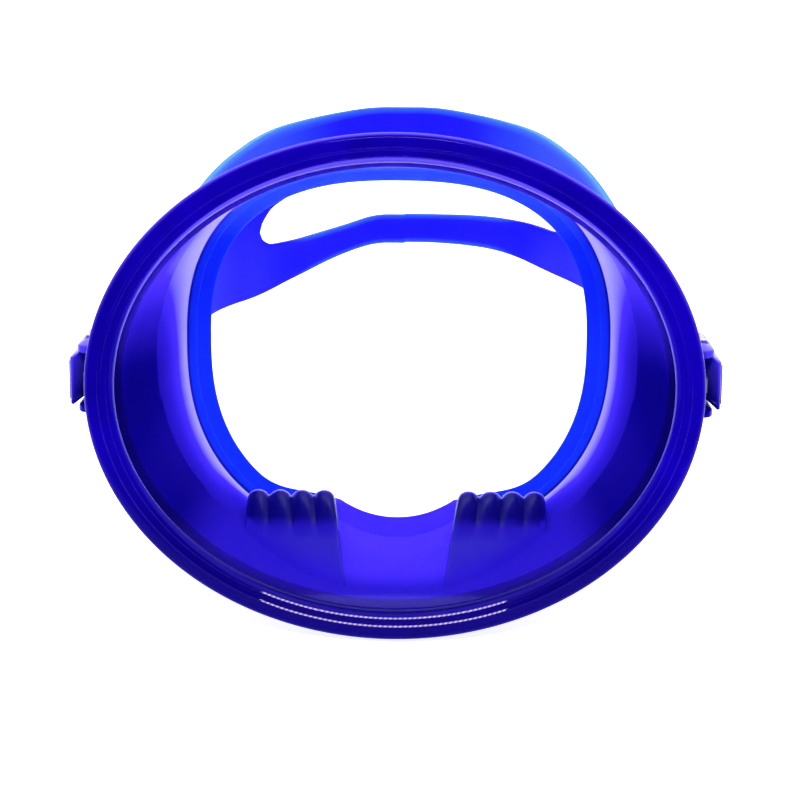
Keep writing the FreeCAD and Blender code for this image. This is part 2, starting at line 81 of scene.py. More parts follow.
# Curves of the skirt: half width, reach up, reach down, squareness, then depth
# at the sides, at the top and at the bottom. Each run is smooth inside and
# meets the next at an edge.
SKIRT_RUNS = (
    ((80.5, 66.5, 66.5, 2, 7, 7, 7), (80.5, 66.5, 66.5, 2, 9.5, 9.5, 9.5)),
    ((80.5, 66.5, 66.5, 2, 9.5, 9.5, 9.5), (75.6, 61.6, 61.6, 2, 9.5, 9.5, 9.5)),
    (
        (75.6, 61.6, 61.6, 2, 9.5, 9.5, 9.5),
        (75.5, 61.5, 61.5, 2, 18, 18, 18),
        (71.5, 59.8, 59.4, 2.2, 42, 38, 37),
        (65.0, 57.8, 57.0, 2.4, 70, 57, 53.5),
        (61.5, 54.5, 54.0, 2.5, 74.5, 61.0, 57.5),
        (58.0, 51.3, 51.2, 2.5, 75.5, 61.7, 58.2),
        (56.5, 50.0, 50.0, 2.5, 75.2, 61.2, 57.7),
        (56.7, 50.2, 50.2, 2.5, 74.5, 60.5, 57.0),
        (59.4, 52.6, 52.3, 2.5, 73.6, 59.8, 56.3),
        (62.2, 54.9, 54.3, 2.5, 72.5, 59.0, 55.5),
    ),
    (
        (62.2, 54.9, 54.3, 2.5, 72.5, 59.0, 55.5),
        (60.6, 53.4, 52.9, 2.5, 71.9, 58.5, 55.0),
        (60.2, 53.1, 52.6, 2.5, 71.3, 58.0, 54.5),
        (60.8, 53.6, 53.1, 2.5, 70.8, 57.6, 54.1),
        (63.2, 55.6, 55.0, 2.45, 70.0, 56.8, 53.4),
    ),
    (
        (63.2, 55.6, 55.0, 2.45, 70.0, 56.8, 53.4),
        (64.5, 56.4, 55.8, 2.4, 64, 53, 49.8),
        (67.0, 57.2, 56.7, 2.3, 53, 45.5, 43.5),
        (68.7, 57.7, 57.2, 2.25, 44, 39, 38),
    ),
    (
        (68.7, 57.7, 57.2, 2.25, 44, 39, 38),
        (71.0, 58.7, 58.4, 2.15, 33, 30, 29),
        (73.7, 59.8, 59.8, 2, 18, 18, 18),
        (73.8, 59.8, 59.8, 2, 7, 7, 7),
    ),
    ((73.8, 59.8, 59.8, 2, 7, 7, 7), (80.5, 66.5, 66.5, 2, 7, 7, 7)),
)
FIRST_SEAL_RUN = 2
LIP_KEY = 6
ROOT_RUN = 4

# Middle of the strap in plan, from the end of the free tail to the roller, then
# from the roller to the back: distance out, distance behind the pivot
STRAP_TAIL = ((79.55, 46), (79.9, 38), (80.65, 29.5), (83.2, 23.4), (84.8, 19.5), (85.0, 17))
STRAP_PLAN = (
    (77.4, 17), (77.3, 27), (76.8, 40), (72.5, 70), (62.5, 100),
    (53, 120.5), (39, 142.5), (15.6, 158.5), (0, 161), (-15.6, 158.5),
)
# Edges of the band from the side: distance behind the pivot, height
STRAP_TOP = ((17, 5.7), (42, 5.8), (60, 15), (80, 30), (101, 42.3), (125, 52), (148, 58), (161, 61.2))
STRAP_LOW = {
    -1: ((17, -5.7), (45, -5.7), (75, -5.0), (105, -0.5), (130, 1.2), (144, 4.8), (155, 11), (161, 14.5)),
    1: ((17, -5.7), (42, -5.7), (70, -1.0), (95, 6.0), (113, 8.3), (134, 10.7), (150, 14.2), (161, 14.8)),
}
SLOT_LOW = {
    -1: ((120, 20.5), (129, 18.0), (137, 17.3), (146, 18.0), (156, 21.3), (161, 24.4)),
    1: ((112, 21.8), (121, 22.6), (131, 23.8), (150, 25.2), (161, 24.6)),
}
SLOT_HIGH = {
    -1: ((120, 23.5), (129, 26.0), (136, 29.5), (143, 33.0), (150, 38.5), (161, 46)),
    1: ((112, 27), (124, 31), (138, 37), (150, 42), (161, 46)),
}
SLOT_START = {-1: 129.0, 1: 121.0}
STRAP_END_HALF = 5.7
BAND_STEPS = 12

# Teeth on the tail: size, where the first one is, and the plain stretch in the keeper
TOOTH_RADIUS = 0.42
TOOTH_LENGTH = 9.4
TEETH_START = 19.0
TEETH_GAP = (30.0, 37.0)

# Keeper's hole: distance out of its two sides, half its height
KEEPER_HOLE = (75.8, 82.4)
KEEPER_HALF = 6.0

# Finger well: depth and height of the ramp's top and of its back edge, number of ribs,
# depth under the skirt, and how far in and down its rounded sides go
WELL_TOP = (47.5, -40.5)
WELL_BACK = (52.5, -43.5)
WELL_RIBS = 4
WELL_FLOOR = -78.0
WELL_EDGE = ((0.0, 1.0), (0.22, 0.28), (0.55, 0.06))
WELL_INSIDE_EDGE = 0.9

# Buckle: base plate with a disc round the pivot, and the cheeks' outline as (out, depth)
DISC_RADIUS = 7.6
BASE_BACK = 30.0
BASE_HALF = 7.2
BASE_SIDES = (81.6, 83.2)
CHEEK_WALL = 2.2
CHEEK = (
    (81.6, 25.5), (84.0, 25.5), (84.0, 14.0), (85.2, 14.0), (86.4, 14.6), (87.2, 16.0), (87.5, 18.0),
    (87.5, 40.0), (86.9, 42.2), (85.2, 43.0), (76.2, 43.0), (76.2, 30.0), (81.6, 30.0),
)

# Lever: outline as (out, depth), half its height, and the grip ribs on its outside
LEVER = (
    (87.9, 12.0), (88.5, 12.0), (88.9, 12.8), (89.0, 14.0), (89.0, 29.4), (88.4, 31.0), (87.0, 32.8),
    (84.8, 33.2), (84.1, 31.5), (84.0, 29.4), (84.6, 27.4), (85.3, 26.4), (86.5, 24.6),
)
LEVER_HALF = 6.6
GRIP_RIBS = 5
GRIP_START = (88.98, 14.4)
GRIP_PITCH = 1.8
GRIP_RADIUS = 0.45
GRIP_LENGTH = 10.8


# ---- settings ------------------------------------------------------------


def srgb(text):
    """Linear colour from an sRGB hex string."""
    channels = [int(text[i : i + 2], 16) / 255 for i in (0, 2, 4)]
    linear = [c / 12.92 if c <= 0.04045 else ((c + 0.055) / 1.055) ** 2.4 for c in channels]
    return (*linear, 1.0)


def length(name, millimetres, description):
    """A length property, shown in the scene's units."""
    return bpy.props.FloatProperty(
        name=name, description=description, default=millimetres * MM, unit="LENGTH", subtype="DISTANCE"
    )


def tilt(name, degrees, description):
    """An angle property."""
    return bpy.props.FloatProperty(
        name=name, description=description, default=math.radians(degrees), unit="ROTATION"
    )


def colour(name, text, description):
    """A colour property from an sRGB hex string."""
    return bpy.props.FloatVectorProperty(
        name=name, description=description, default=srgb(text), size=4, min=0.0, max=1.0, subtype="COLOR"
    )


class MaskFrameSizes(bpy.types.PropertyGroup):
    """Sizes of the oval frame and the lens."""

    half_width: length("Half width", 83.5, "Half the frame's width at its front")
    half_height: length("Half height", 69.5, "Half the frame's height at its front")
    ridge_width: length("Ridge width", 1.1, "Width of each raised ridge on the frame's face")
    ridge_height: length("Ridge height", 0.24, "How far each ridge stands proud")
    ridge_outer: length("Outer ridge inset", 3.6, "Outer ridge, in from the frame's edge")
    ridge_inner: length("Inner ridge inset", 5.9, "Inner ridge, in from the frame's edge")
    lens_inset: length("Lens inset", 2.9, "Lens edge, in from the frame's edge")
    lens_front: length("Lens front", 3.0, "Depth of the lens's front face")
    lens_back: length("Lens back", 7.0, "Depth of the lens's back face")
    lens_bevel: length("Lens bevel", 0.5, "Ground bevel on the lens's edge")


class MaskSkirtSizes(bpy.types.PropertyGroup):
    """Sizes of the finger wells in the silicone skirt."""

    inner_front: length("Nose side, front", 13.0, "Nose side of a finger well at the lens")
    inner_back: length("Nose side, back", 18.5, "Nose side of a finger well at the face")
    outer: length("Temple side", 43.5, "Outer side of a finger well")
    front: length("Front depth", 10.5, "Depth where the well's ramp starts")
    front_height: length("Front height", -60.5, "Height where the well's ramp starts")
    rib_radius: length("Rib radius", 3.7, "Radius of each rounded rib")
    wall: length("Wall", 1.8, "Thickness of the silicone over the pocket")


class MaskStrapSizes(bpy.types.PropertyGroup):
    """Sizes of the silicone strap and its keepers."""

    thickness: length("Thickness", 2.0, "Thickness of the band")
    edge: length("Edge bevel", 0.55, "Rounding of the band's edges")
    slot_round: length("Slot rounding", 9.0, "Length over which the slot's end rounds off")
    roller_out: length("Roller, out", 81.2, "Roller axis, out from the mask's middle")
    roller_back: length("Roller, back", 17.0, "Roller axis, behind the pivot")
    turn: length("Turn radius", 3.8, "Middle of the band round the roller")
    tooth_pitch: length("Tooth pitch", 2.0, "Distance between the bars on the tail")
    keeper_back: length("Keeper, back", 31.0, "Front of the keeper, behind the pivot")
    keeper_length: length("Keeper length", 5.0, "Width of the keeper along the strap")
    keeper_wall: length("Keeper wall", 1.4, "Thickness of the keeper")


class MaskColours(bpy.types.PropertyGroup):
    """Colours of the materials."""

    plastic: colour("Frame plastic", "1200B0", "Blue-violet polycarbonate")
    plastic_shade: colour("Plastic, underside", "070062", "Frame plastic low on the ring")
    plastic_deep: colour("Frame plastic, deep", "0B008C", "Where the plastic is thick")
    # Painted highlight dashes on the frame's ridges
    plastic_glint: colour("Frame plastic, glints", "D8C4FF", "Bright dashes on the ridges")
    # Painted light along the frame's thin edges
    plastic_light: colour("Frame plastic, edges", "5B45FF", "Thin edges, where light comes through")
    # Skirt wall colours, picked by painted light: navy painted shade beside the frame, violet and
    # near-white painted light towards the seal's root
    wall_deep: colour("Skirt, deepest", "06006C", "Silicone in the shade behind the frame")
    wall_dark: colour("Skirt, dark", "090082", "Silicone wall near the frame")
    wall_mid: colour("Skirt, middle", "3620D0", "Silicone wall")
    wall_light: colour("Skirt, light", "5538F8", "Silicone wall where it thins")
    wall_root: colour("Skirt, at the seal", "DCD0FF", "Light that gathers at the root of the seal")
    seal: colour("Face seal", "1A42FF", "Thin azure lip")
    # Painted light on the lip towards the top
    seal_light: colour("Face seal, top", "4C76FF", "Lip where light falls through it")
    # Painted shade on the strap near the frame
    strap_deep: colour("Strap, in shade", "0D0AF4", "Strap silicone close to the frame")
    strap: colour("Strap", "221EFF", "Strap silicone")
    # Painted light along the strap's edges
    strap_light: colour("Strap edges", "4E86FF", "Thin edges, where light comes through")
    steel: colour("Steel", "B8B8BC", "Stainless pins and springs")


class MaskStage(bpy.types.PropertyGroup):
    """Camera, floor and light."""

    distance: length("Camera distance", 600.0, "From the middle of the frame to the camera")
    focal: bpy.props.FloatProperty(
        name="Focal length", description="Lens of the camera", default=100.85, unit="CAMERA"
    )
    rise: tilt("Camera rise", 12.0, "Above the mask's own axis")
    turn: tilt("Camera turn", 1.1, "Round the mask towards +X")
    shift_x: bpy.props.FloatProperty(name="Shift X", description="Sideways lens shift", default=0.0075)
    shift_y: bpy.props.FloatProperty(name="Shift Y", description="Upward lens shift", default=-0.009)


# ---- helpers -------------------------------------------------------------


def mask_turn():
    """Angle by which the mask leans back, from the rollers' upright axis."""
    up = Vector(joint("left_roller_spin")["axis"])
    return math.atan2(up.y, up.z)


def joint(name):
    """One joint of the CAD part."""
    return next(j for j in frame["joints"] if j["name"] == name)


def mask_place():
    """Matrix from mask coordinates in millimetres to the CAD part's frame."""
    turn = Matrix.Rotation(-mask_turn(), 4, "X")
    pivot = Vector(joint("strap_swing")["pos_m"])
    origin = pivot - turn @ Vector((0, PIVOT_BACK * MM, 0))
    return Matrix.Translation(origin) @ turn @ Matrix.Scale(MM, 4)


def smooth_rows(rows, steps):
    """Rows of numbers along a smooth curve through the given rows."""
    out = []
    last = len(rows) - 1
    for i in range(last):
        around = (rows[max(i - 1, 0)], rows[i], rows[i + 1], rows[min(i + 2, last)])
        for k in range(steps):
            t = k / steps
            row = []
            for p, q, r, s in zip(*around):
                cubic = 3 * q - p - 3 * r + s
                row.append(0.5 * (2 * q + (r - p) * t + (2 * p - 5 * q + 4 * r - s) * t * t + cubic * t**3))
            out.append(tuple(row))
    out.append(tuple(rows[-1]))
    return out


def read_table(rows, where):
    """Value at where in a smooth table of (place, value) rows, flat past its ends."""
    dense = smooth_rows(rows, 8)
    if where <= dense[0][0]:
        return dense[0][1]
    for (a, low), (b, high) in zip(dense, dense[1:]):
        if where <= b:
            return low + (high - low) * (where - a) / max(b - a, 1e-9)
    return dense[-1][1]


def soft_step(low, high, value):
    """0 below low, 1 above high, smooth between."""
    t = min(max((value - low) / (high - low), 0.0), 1.0)
    return t * t * (3 - 2 * t)


def angle_at(station, turns):
    """Angle of a station round a closed curve, whose last station is its first again."""
    return 2 * math.pi * (station % turns) / turns


def choose(piece):
    """Makes the piece active and the only one selected."""
    bpy.ops.object.select_all(action="DESELECT")
    bpy.context.view_layer.objects.active = piece
    piece.select_set(True)


def edit_mesh(piece, *steps):
    """Runs mesh operators on the whole piece in edit mode: (operator, settings) pairs."""
    choose(piece)
    bpy.ops.object.mode_set(mode="EDIT")
    bpy.ops.mesh.select_all(action="SELECT")
    for operator, settings in steps:
        operator(**settings)
    bpy.ops.object.mode_set(mode="OBJECT")


def shade(piece, degrees):
    """Smooth shading with edges sharper than degrees left crisp."""
    choose(piece)
    bpy.ops.object.shade_smooth_by_angle(angle=math.radians(degrees))


def apply_modifier(piece, kind, **settings):
    """Adds a modifier with settings and applies it."""
    choose(piece)
    modifier = piece.modifiers.new(kind.title(), kind)
    for field, value in settings.items():
        setattr(modifier, field, value)
    bpy.ops.object.modifier_apply(modifier=modifier.name)


def round_edges(piece, width, segments=3, degrees=30):
    """Rounds the edges that are sharper than degrees."""
    limit = math.radians(degrees)
    apply_modifier(
        piece, "BEVEL", width=width, segments=segments, limit_method="ANGLE", angle_limit=limit
    )


def shaped_grid(name, rows, columns, point):
    """A grid of rows x columns faces, each corner (i, j) put at point(i, j), seams joined."""
    bpy.ops.object.select_all(action="DESELECT")
    bpy.ops.mesh.primitive_grid_add(
        x_subdivisions=rows, y_subdivisions=columns, size=1.0, location=(0, 0, 0)
    )
    piece = bpy.context.active_object
    piece.name = piece.data.name = name
    for vertex in piece.data.vertices:
        i = round((vertex.co.x + 0.5) * rows)
        j = round((vertex.co.y + 0.5) * columns)
        vertex.co = point(i, j)
    edit_mesh(
        piece,
        (bpy.ops.mesh.remove_doubles, {"threshold": 1e-4}),
        (bpy.ops.mesh.normals_make_consistent, {"inside": False}),
    )
    return piece


def close_ends(piece):
    """Fills the open ends of the piece, so that it is a closed solid."""
    edit_mesh(
        piece,
        (bpy.ops.mesh.select_all, {"action": "DESELECT"}),
        (bpy.ops.mesh.select_non_manifold, {}),
        (bpy.ops.mesh.edge_face_add, {}),
        (bpy.ops.mesh.select_all, {"action": "SELECT"}),
        (bpy.ops.mesh.normals_make_consistent, {"inside": False}),
    )
    return piece


def settle(piece, body, material, degrees):
    """Moves a finished piece from mask coordinates to its place and hands it to its body."""
    piece.data.transform(mask_place())
    piece.data.materials.clear()
    piece.data.materials.append(material)
    shade(piece, degrees)
    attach(piece, body)


def cut_or_join(piece, tool, operation):
    """Exact boolean with a tool that is then removed."""
    apply_modifier(piece, "BOOLEAN", operation=operation, object=tool, solver="EXACT")
    bpy.data.objects.remove(tool)


def joined(name, pieces):
    """Several pieces as one."""
    bpy.ops.object.select_all(action="DESELECT")
    for piece in pieces:
        piece.select_set(True)
    bpy.context.view_layer.objects.active = pieces[0]
    bpy.ops.object.join()
    pieces[0].name = pieces[0].data.name = name
    return pieces[0]


def mirror_copy(piece, name):
    """The piece's mirror image across the mask's middle, with its own mesh."""
    twin = piece.copy()
    twin.data = piece.data.copy()
    twin.name = twin.data.name = name
    bpy.context.scene.collection.objects.link(twin)
    twin.data.transform(Matrix.Scale(-1, 4, (1, 0, 0)))
    edit_mesh(twin, (bpy.ops.mesh.normals_make_consistent, {"inside": False}))
    return twin


def paint(piece, attribute, value, facing=False):
    """Stores value(x, y, z), read in mask millimetres, on each vertex; facing adds its normal."""
    layer = piece.data.attributes.new(attribute, "FLOAT", "POINT")
    if facing:
        values = [value(*vertex.co, vertex.normal) for vertex in piece.data.vertices]
    else:
        values = [value(*vertex.co) for vertex in piece.data.vertices]
    layer.data.foreach_set("value", values)


# ---- materials -----------------------------------------------------------


def add_node(tree, kind, settings=None, sockets=None):
    """Adds a node, sets its fields, and fills its inputs with constants or links."""
    node = tree.nodes.new(kind)
    for field, value in (settings or {}).items():
        setattr(node, field, value)
    for socket, value in (sockets or {}).items():
        if isinstance(value, bpy.types.NodeSocket):
            tree.links.new(value, node.inputs[socket])
        else:
            node.inputs[socket].default_value = value
    return node


def new_material(name):
    """An empty node material and its output."""
    material = bpy.data.materials.new(name)
    material.use_nodes = True
    material.node_tree.nodes.clear()
    return material, material.node_tree, add_node(material.node_tree, "ShaderNodeOutputMaterial")


def ramp(tree, factor, stops):
    """Colour ramp over (position, colour) stops."""
    node = add_node(tree, "ShaderNodeValToRGB", sockets={"Fac": factor})
    elements = node.color_ramp.elements
    while len(elements) < len(stops):
        elements.new(0.5)
    for element, (position, shade_colour) in zip(elements, stops):
        element.position = position
        element.color = shade_colour
    return node.outputs["Color"]


def painted(tree, attribute):
    """The value painted on the piece under this name."""
    return add_node(tree, "ShaderNodeAttribute", {"attribute_name": attribute}).outputs["Fac"]


def blend(tree, share, first, second):
    """The first colour where share is 0, the second where it is 1."""
    sockets = {0: share, 6: first, 7: second}
    return add_node(tree, "ShaderNodeMix", {"data_type": "RGBA"}, sockets).outputs[2]


def fine_noise(tree, size_mm):
    """Noise whose features measure about size_mm, fixed to the object."""
    place = add_node(tree, "ShaderNodeTexCoord")
    sockets = {"Vector": place.outputs["Object"], "Scale": 1.0 / (size_mm * MM), "Detail": 3.0}
    return add_node(tree, "ShaderNodeTexNoise", sockets=sockets).outputs["Fac"]


def spread(tree, value, low, high):
    """Maps 0..1 to low..high."""
    sockets = {"Value": value, "To Min": low, "To Max": high}
    return add_node(tree, "ShaderNodeMapRange", sockets=sockets).outputs["Result"]


def grain(tree, size_mm, strength, depth_mm):
    """Faint bumps left by the mould."""
    sockets = {"Strength": strength, "Distance": depth_mm * MM, "Height": fine_noise(tree, size_mm)}
    return add_node(tree, "ShaderNodeBump", sockets=sockets).outputs["Normal"]


def finish(parts, sockets):
    """Ends a material with one Principled shader."""
    material, tree, out = parts
    shader = add_node(tree, "ShaderNodeBsdfPrincipled", sockets=sockets)
    tree.links.new(shader.outputs["BSDF"], out.inputs["Surface"])
    return material


def plastic_material():
    """Polished injection-moulded polycarbonate: depth of colour and sheen wander a little over it."""
    parts = new_material("Blue-violet polycarbonate")
    tree = parts[1]
    colours = bpy.context.scene.mask_colours
    tint = ramp(tree, fine_noise(tree, 22.0), ((0.3, colours.plastic_deep), (0.7, colours.plastic)))
    tint = blend(tree, painted(tree, "shade"), tint, tuple(colours.plastic_shade))
    # Painted light along the ring's edges and on the buckles
    tint = blend(tree, painted(tree, "painted_light"), tint, tuple(colours.plastic_light))
    # Painted highlight dashes on the ridges
    tint = blend(tree, painted(tree, "glint"), tint, tuple(colours.plastic_glint))
    sockets = {
        "Base Color": tint,
        "Roughness": spread(tree, fine_noise(tree, 3.0), 0.08, 0.16),
        "IOR": 1.58,
        "Specular IOR Level": 0.06,
        "Specular Tint": (0.4, 0.3, 1.0, 1.0),
        "Normal": grain(tree, 0.9, 0.04, 0.05),
    }
    return finish(parts, sockets)


def silicone_material(parts, tint, shine, roughness):
    """Moulded silicone: light scatters deep inside it, and a faint mould texture softens its shine."""
    tree = parts[1]
    sockets = {
        "Base Color": tint,
        "Roughness": spread(tree, fine_noise(tree, 4.0), *roughness),
        "IOR": 1.41,
        "Specular IOR Level": shine,
        "Specular Tint": (0.4, 0.35, 1.0, 1.0),
        "Subsurface Weight": 0.6,
        "Subsurface Radius": (0.3, 0.3, 1.0),
        "Subsurface Scale": 3.5 * MM,
        "Normal": grain(tree, 0.7, 0.06, 0.08),
    }
    return finish(parts, sockets)


def skirt_material():
    """Skirt silicone: navy painted shade beside the frame, violet painted light towards the seal, azure at
    the thin lips.
    """
    parts = new_material("Translucent blue silicone, skirt")
    tree = parts[1]
    colours = bpy.context.scene.mask_colours
    painted_light = painted(tree, "painted_light")
    wall_stops = (
        (0.0, colours.wall_deep),
        (0.14, colours.wall_dark),
        (0.5, colours.wall_mid),
        (0.72, colours.wall_light),
        (1.0, colours.wall_root),
    )
    wall = ramp(tree, painted_light, wall_stops)
    lip = ramp(tree, painted_light, ((0.3, colours.seal), (1.0, colours.seal_light)))
    tint = blend(tree, painted(tree, "seal"), wall, lip)
    return silicone_material(parts, tint, painted(tree, "shine"), (0.16, 0.26))


def strap_material():
    """Strap silicone: satin, with deep blue painted shade and painted light along its edges."""
    parts = new_material("Translucent blue silicone, strap")
    tree = parts[1]
    colours = bpy.context.scene.mask_colours
    stops = ((0.0, colours.strap_deep), (0.4, colours.strap), (1.0, colours.strap_light))
    return silicone_material(parts, ramp(tree, painted(tree, "painted_rim_light"), stops), 0.06, (0.3, 0.45))


def glass_material():
    """Tempered glass: clear, with a blue coating whose reflection grows at a slant.

    Only the way into the glass reflects, so that the pane stays clear at any slant.
    """
    material, tree, out = new_material("Tempered clear glass")
    clear = add_node(tree, "ShaderNodeBsdfTransparent", sockets={"Color": (0.97, 0.98, 1.0, 1.0)})
    coating = {"Base Color": (0.35, 0.3, 1.0, 1.0), "Metallic": 1.0, "Roughness": 0.03}
    shine = add_node(tree, "ShaderNodeBsdfPrincipled", sockets=coating)
    slant = add_node(tree, "ShaderNodeFresnel", sockets={"IOR": 1.5}).outputs["Fac"]
    inside = add_node(tree, "ShaderNodeNewGeometry").outputs["Backfacing"]
    front = add_node(tree, "ShaderNodeMath", {"operation": "SUBTRACT"}, {0: 1.0, 1: inside}).outputs[0]
    amount = add_node(tree, "ShaderNodeMath", {"operation": "MULTIPLY"}, {0: slant, 1: front}).outputs[0]
    both = {0: amount, 1: clear.outputs["BSDF"], 2: shine.outputs["BSDF"]}
    mix = add_node(tree, "ShaderNodeMixShader", sockets=both)
    tree.links.new(mix.outputs["Shader"], out.inputs["Surface"])
    return material


def steel_material():
    """Drawn stainless steel: fine scratches break up its shine."""
    parts = new_material("Stainless steel")
    gloss = spread(parts[1], fine_noise(parts[1], 0.4), 0.22, 0.38)
    colour_of_steel = tuple(bpy.context.scene.mask_colours.steel)
    return finish(parts, {"Base Color": colour_of_steel, "Metallic": 1.0, "Roughness": gloss})


MADE = {}


def shared(maker):
    """The maker's material, made once."""
    if maker not in MADE:
        MADE[maker] = maker()
    return MADE[maker]


# ---- pieces --------------------------------------------------------------


class MASK_OT_bezel(bpy.types.Operator):
    """Front ring with two raised ridges round its face."""

    bl_idname = "mask.bezel"
    bl_label = "Front bezel"

    def execute(self, context):
        sizes = context.scene.mask_frame
        half_w, half_h = sizes.half_width / MM, sizes.half_height / MM
        section = list(BEZEL_OUTSIDE)
        for inset in (sizes.ridge_outer / MM, sizes.ridge_inner / MM):
            for k in range(RIDGE_STEPS + 1):
                share = k / RIDGE_STEPS
                rise = sizes.ridge_height / MM * math.sin(math.pi * share) ** 0.7
                section.append((inset + sizes.ridge_width / MM * share, FACE_DEPTH - rise))
        section += BEZEL_INSIDE
        count = len(section)

        def point(i, j):
            inset, depth = section[j % count]
            angle = angle_at(i, BEZEL_TURNS)
            return (half_w - inset) * math.cos(angle), depth, (half_h - inset) * math.sin(angle)

        def painted_bezel_light(x, y, z):
            """Painted light along the inner and outer edges of the face, more at the top."""
            inset = (1 - math.hypot(x / half_w, z / half_h)) * (half_w + half_h) / 2
            inner = soft_step(6.9, 7.3, inset) * (1 - soft_step(8.0, 8.4, inset)) if y < 2.2 else 0.0
            outer = 0.6 * (1 - soft_step(0.25, 0.9, inset)) if y < 1.6 else 0.0
            inner *= 0.12 + 0.88 * soft_step(-12, 40, z)
            return inner + outer * (0.2 + 0.8 * soft_step(-10, 45, z))

        def ridge_glint(x, y, z):
            """Painted highlight: short bright dashes along the crests of both ridges, low on the ring."""
            if z > -40 or not -36 < x < 31 or y > FACE_DEPTH - 0.8 * sizes.ridge_height / MM:
                return 0.0
            station = round(math.atan2(z / half_h, x / half_w) * BEZEL_TURNS / (2 * math.pi))
            return 1.0 if station % 2 else 0.2

        def low_shade(x, y, z):
            """Shade on the lower part of the ring."""
            return 0.8 * soft_step(-15, -50, z)

        bezel = shaped_grid("front_bezel_ring", BEZEL_TURNS, count, point)
        paint(bezel, "painted_light", painted_bezel_light)
        paint(bezel, "shade", low_shade)
        paint(bezel, "glint", ridge_glint)
        settle(bezel, "mask_frame", shared(plastic_material), 28)
        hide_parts("front_bezel")
        return {"FINISHED"}


class MASK_OT_lens(bpy.types.Operator):
    """Flat oval pane with a ground bevel."""

    bl_idname = "mask.lens"
    bl_label = "Lens"

    def execute(self, context):
        sizes = context.scene.mask_frame
        half_w = (sizes.half_width - sizes.lens_inset) / MM
        half_h = (sizes.half_height - sizes.lens_inset) / MM
        front, back, bevel = sizes.lens_front / MM, sizes.lens_back / MM, sizes.lens_bevel / MM
        section = [(half_w, front), (half_w / 2, front), (bevel, front), (0, front + bevel)]
        section += [(0, back - bevel), (bevel, back), (half_w / 2, back), (half_w, back)]

        def point(i, j):
            inset, depth = section[j]
            angle = angle_at(i, LENS_TURNS)
            reach_h = half_h * (1 - inset / half_w)
            return (half_w - inset) * math.cos(angle), depth, reach_h * math.sin(angle)

        lens = shaped_grid("lens_pane", LENS_TURNS, len(section) - 1, point)
        settle(lens, "mask_frame", shared(glass_material), 25)
        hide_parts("lens")
        return {"FINISHED"}


def seal_point(row, angle):
    """Point on one of the skirt's curves, which reach deeper at the temples."""
    half, top, bottom, power, y_side, y_top, y_bottom = row
    c, s = math.cos(angle), math.sin(angle)
    reach = top if s > 0 else bottom
    radius = ((abs(c) / half) ** power + (abs(s) / reach) ** power) ** (-1 / power)
    x, z = radius * c, radius * s
    share = (abs(x) / half) ** power
    lift = math.copysign((abs(z) / reach) ** (power / 2), z)
    middle = (y_top + y_bottom) / 2 + lift * (y_top - y_bottom) / 2
    return x, middle + (y_side - middle) * share, z


def skirt_body():
    """The skirt's wall and double face seal, without the finger wells.

    Between the wells the seal is a single lip, which dips in a U for the nose.
    """
    rows = []
    for number, run in enumerate(SKIRT_RUNS):
        steps = 1 if len(run) == 2 else 5
        if number == FIRST_SEAL_RUN:
            lip = len(rows) + LIP_KEY * steps
        if number == ROOT_RUN:
            root = len(rows)
        rows += smooth_rows(run, steps)[:-1]
    count = len(rows)

    def point(i, j):
        angle = angle_at(i, SKIRT_TURNS)
        x, y, z = seal_point(rows[j % count], angle)
        if z > -25:
            return x, y, z
        if lip < j < root:
            share = (j - lip) / (root - lip)
            near, far = Vector(seal_point(rows[lip], angle)), Vector(seal_point(rows[root], angle))
            plain = near.lerp(far, share)
            single = 1 - soft_step(20, 28, abs(x))
            x, y, z = Vector((x, y, z)).lerp(plain, single)
        dip = min((x / 17) ** 2, 1) * (1 - soft_step(22, 42, abs(x)))
        return x, y, z + 4.2 * dip * soft_step(26, 54, y)

    return shaped_grid("skirt_moulding", SKIRT_TURNS, count, point)


def well_solid(inset, drop):
    """Solid under a finger well's ribbed ramp, drawn in by inset and lowered by drop."""
    sizes = bpy.context.scene.mask_skirt
    front, front_z = sizes.front / MM, sizes.front_height / MM
    (top_y, top_z), (back_y, back_z) = WELL_TOP, WELL_BACK
    inner_front, inner_back = sizes.inner_front / MM, sizes.inner_back / MM
    outer = sizes.outer / MM - inset
    radius = sizes.rib_radius / MM
    spacing = (sizes.outer / MM - inner_back) / WELL_RIBS
    depths = [front + 2 * inset] + [front + (top_y - front) * k / 24 for k in range(3, 24)]
    depths += [top_y - 0.8, top_y - 0.3, top_y, top_y + 0.5, top_y + 1.2]
    depths += [back_y - 1.0, back_y - 0.4, back_y]
    depths = [min(y, back_y - inset) for y in depths]
    across = [k / 40 for k in range(41)]

    def height(share, y):
        """Ramp, with rounded ribs that grow towards the back."""
        if y <= top_y:
            z = front_z + (top_z - front_z) * (y - front) / (top_y - front)
        else:
            z = top_z + (back_z - top_z) * (y - top_y) / (back_y - top_y)
        z -= 0.7 * soft_step(top_y - 2.5, top_y, y) * soft_step(back_y, top_y, y)
        if drop == 0:
            out = (share * WELL_RIBS) % 1.0 - 0.5
            arc = math.sqrt(radius**2 - (out * spacing) ** 2) - math.sqrt(radius**2 - (spacing / 2) ** 2)
            z += 1.15 * arc * soft_step(31, 43, y)
        return z - drop

    def point(i, j):
        y = depths[min(max(j - 1, 0), len(depths) - 1)]
        inner = inner_front + (inner_back - inner_front) * (y - front) / (back_y - front) + inset
        last = len(across) + 7
        if i in (0, last):
            return inner if i == 0 else outer, y, WELL_FLOOR
        near = min(i - 1, last - 1 - i)
        fall = 0.0
        if near < len(WELL_EDGE):
            off, fall = WELL_EDGE[near]
            share = off / (outer - inner)
            share = share if i - 1 < last - 1 - i else 1 - share
        else:
            margin = WELL_INSIDE_EDGE / (outer - inner)
            share = margin + (1 - margin - margin) * across[i - 4]
        z = WELL_FLOOR if j in (0, len(depths) + 1) else height(share, y) - fall
        return inner + share * (outer - inner), y, z

    return close_ends(shaped_grid("well", len(across) + 7, len(depths) + 1, point))


